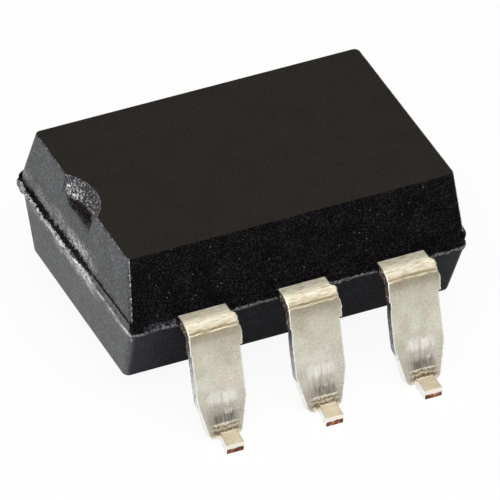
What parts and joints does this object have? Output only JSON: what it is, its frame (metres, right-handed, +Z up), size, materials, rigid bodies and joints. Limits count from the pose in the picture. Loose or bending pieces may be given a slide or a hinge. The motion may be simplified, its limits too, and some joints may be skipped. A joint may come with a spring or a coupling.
{
  "type": "optocoupler",
  "caption": "Black moulded dual in-line optocoupler with gull-wing leads: an infrared emitter faces a phototransistor across a pale inner moulding.",
  "frame": {"origin": "on the board surface, under the middle of the body", "axes": "+Z up from the board, X along the lead rows with the index notch at -X, +Y across the rows, away from lead 1"},
  "size_m": [0.0088, 0.0104, 0.0043],
  "materials": {
    "black_epoxy": "matte, as moulded",
    "pale_epoxy": "matte, as moulded",
    "tinned_copper": "matte tin plating",
    "emitter_crystal": "polished crystal",
    "silicon": "polished crystal",
    "silver_adhesive": "matte",
    "gold_wire": "drawn"
  },
  "bodies": {
    "root": {"outer_moulding": "black_epoxy", "inner_moulding": "pale_epoxy", "lead_1_anode": "tinned_copper", "lead_2_cathode": "tinned_copper", "lead_3_spare": "tinned_copper", "lead_4_emitter": "tinned_copper", "lead_5_collector": "tinned_copper", "lead_6_base": "tinned_copper", "emitter_chip": "emitter_crystal", "emitter_adhesive": "silver_adhesive", "emitter_wire": "gold_wire", "detector_chip": "silicon", "detector_adhesive": "silver_adhesive", "base_wire": "gold_wire", "detector_emitter_wire": "gold_wire"}
  },
  "joints": []
}
